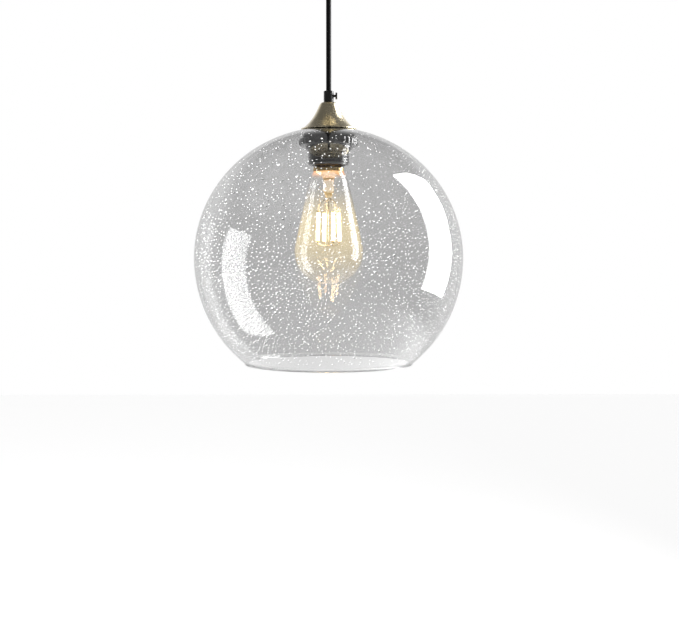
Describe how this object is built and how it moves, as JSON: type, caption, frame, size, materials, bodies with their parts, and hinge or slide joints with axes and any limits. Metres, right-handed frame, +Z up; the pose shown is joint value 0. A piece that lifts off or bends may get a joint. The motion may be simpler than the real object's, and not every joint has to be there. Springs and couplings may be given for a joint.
{
  "type": "pendant ceiling light",
  "caption": "Clear seeded-glass globe pendant with an open bottom, a flared antique brass cap, a black threaded lampholder, a filament bulb, a black flex and a round ceiling canopy.",
  "frame": {"origin": "on the ceiling plane, at the middle of the fixing bar's top face", "axes": "+Z up into the ceiling, +X right, front is -Y"},
  "size_m": [0.25, 0.25, 0.4488],
  "materials": {
    "antique_brass": "satin, olive-toned antique plating",
    "zinc_steel": "zinc plated",
    "plain_brass": "plain, bright",
    "black_plastic": "moulded, glossy",
    "black_flex": "smooth sheath",
    "seeded_glass": "clear with fine seeds (bubbles)",
    "bulb_glass": "clear, polished",
    "white_ceramic": "unglazed",
    "black_glass": "polished",
    "filament": "phosphor coated, lit",
    "nickel_wire": "drawn wire",
    "circuit_board": "lacquered board",
    "brown_wire": "smooth insulation",
    "blue_wire": "smooth insulation",
    "green_wire": "smooth insulation"
  },
  "bodies": {
    "ceiling": {"ceiling_bar": "zinc_steel", "canopy": "antique_brass", "canopy_stud_left": "zinc_steel", "canopy_stud_right": "zinc_steel", "canopy_nut_left": "antique_brass", "canopy_nut_right": "antique_brass", "canopy_nipple": "zinc_steel", "canopy_lock_nut": "zinc_steel", "canopy_cord_grip": "black_plastic", "canopy_grip_screw": "black_plastic", "cord_inner": "black_flex", "terminal_block": "white_ceramic", "wire_live_upper": "brown_wire", "wire_neutral_upper": "blue_wire", "wire_earth_upper": "green_wire", "earth_screw": "plain_brass"},
    "flex": {"cord_upper": "black_flex"},
    "pendant": {"cord_lower": "black_flex", "cord_grip": "black_plastic", "grip_screw": "black_plastic", "cap_nipple": "zinc_steel", "brass_cap": "antique_brass", "cap_lock_nut": "zinc_steel", "earth_tag": "plain_brass", "socket_cover": "black_plastic", "socket_sleeve": "black_plastic", "socket_core": "white_ceramic", "screw_shell": "plain_brass", "centre_contact": "plain_brass", "terminal_screw_live": "plain_brass", "terminal_screw_neutral": "plain_brass", "lead_live": "brown_wire", "lead_neutral": "blue_wire", "lead_earth": "green_wire"},
    "shade": {"glass_globe": "seeded_glass", "shade_gasket": "black_plastic"},
    "ring": {"shade_ring": "black_plastic"},
    "bulb": {"bulb_glass": "bulb_glass", "bulb_screw_base": "plain_brass", "bulb_insulator": "black_glass", "bulb_tip": "zinc_steel", "bulb_driver": "circuit_board", "bulb_stem": "bulb_glass", "bulb_post": "nickel_wire", "filament_1": "filament", "filament_2": "filament", "filament_3": "filament", "filament_4": "filament", "lead_wire_1": "nickel_wire", "lead_wire_2": "nickel_wire", "lead_wire_3": "nickel_wire", "lead_wire_4": "nickel_wire"}
  },
  "joints": [
    {"name": "swing_front", "type": "hinge", "parent": "ceiling", "child": "flex", "pos_m": [0, 0, -0.0334], "axis": [1, 0, 0], "range_deg": [-25, 25]},
    {"name": "swing_side", "type": "hinge", "parent": "flex", "child": "pendant", "pos_m": [0, 0, -0.0684], "axis": [0, 1, 0], "range_deg": [-25, 25]},
    {"name": "bulb_out", "type": "slide", "parent": "pendant", "child": "bulb", "axis": [0, 0, -1], "range_m": [0, 0.026]},
    {"name": "shade_drop", "type": "slide", "parent": "pendant", "child": "shade", "axis": [0, 0, -1], "range_m": [0, 0.012]},
    {"name": "ring_turn", "type": "hinge", "parent": "shade", "child": "ring", "pos_m": [0, 0, -0.244], "axis": [0, 0, -1], "range_deg": [0, 1730]}
  ],
  "couplings": [
    {"joint": "ring_turn", "follows": "shade_drop", "rad_per_m": 2513.3}
  ]
}
